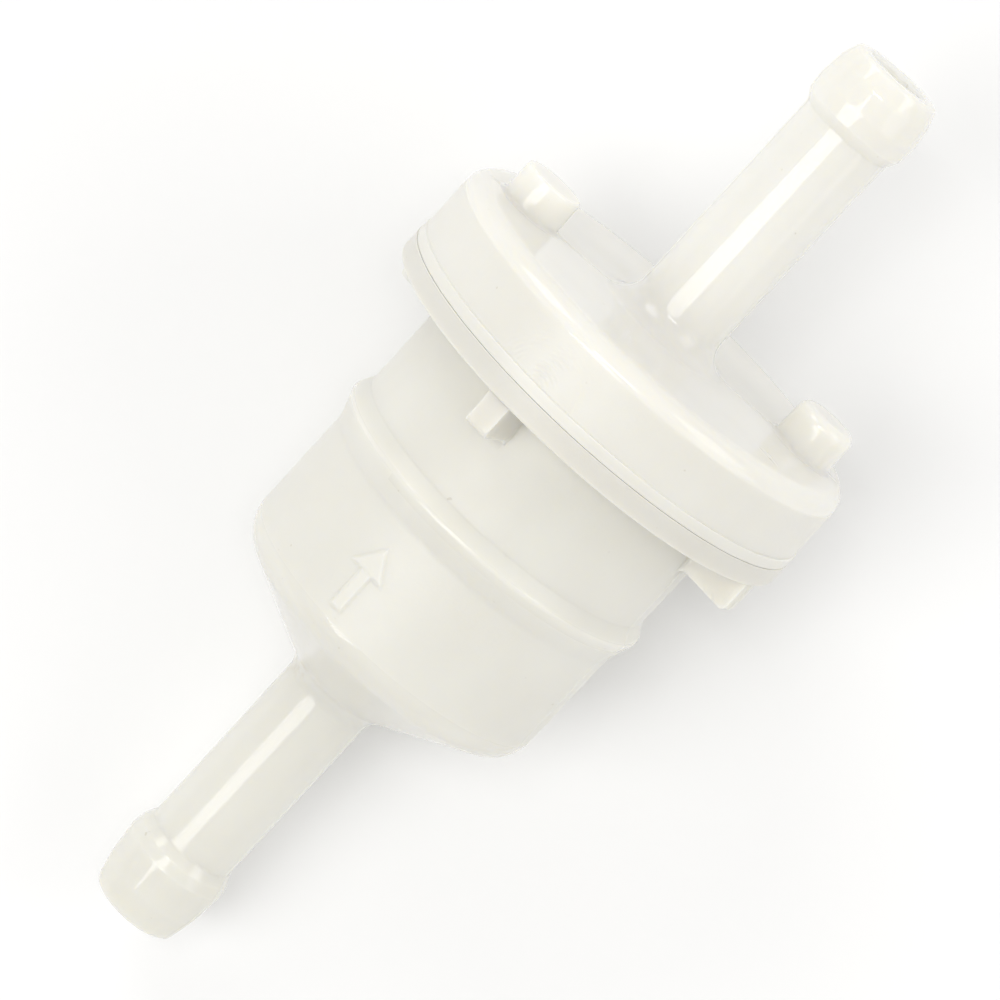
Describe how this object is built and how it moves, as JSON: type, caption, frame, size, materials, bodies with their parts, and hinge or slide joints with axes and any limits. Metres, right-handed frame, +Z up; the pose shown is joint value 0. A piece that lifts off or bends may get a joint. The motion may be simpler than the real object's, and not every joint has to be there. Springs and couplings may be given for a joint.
{
  "type": "inline fuel filter",
  "caption": "Inline fuel filter in milky plastic: a flanged round housing welded around a pleated paper element, with a barbed hose spigot at each end.",
  "frame": {"origin": "on the surface the filter lies on, under the middle of its box", "axes": "+X along the flow towards the outlet spigot, seen from above; +Z up; the filter's own axis leans up towards +X by about 12.5 degrees, because it lies on its flange rim and its cup shoulder"},
  "size_m": [0.0698, 0.03, 0.0303],
  "materials": {
    "cup_nylon": "milky natural nylon, semi-gloss, slightly uneven",
    "lid_nylon": "milky natural nylon, glossy top, fine spark-eroded texture on the skirt",
    "filter_paper": "resin-treated pleated cellulose paper, matt",
    "end_cap_plastic": "off-white moulded nylon, satin",
    "potting_adhesive": "hardened amber hot-melt adhesive",
    "core_plastic": "off-white moulded plastic, satin",
    "clip_steel": "thin tinned steel strip",
    "seal_rubber": "black nitrile rubber, matt"
  },
  "bodies": {
    "root": {"inlet_cup": "cup_nylon", "outlet_lid": "lid_nylon", "filter_paper": "filter_paper", "closed_end_cap": "end_cap_plastic", "neck_end_cap": "end_cap_plastic", "lower_potting": "potting_adhesive", "upper_potting": "potting_adhesive", "support_core": "core_plastic", "pleat_seam_clip": "clip_steel", "neck_o_ring": "seal_rubber"}
  },
  "joints": []
}
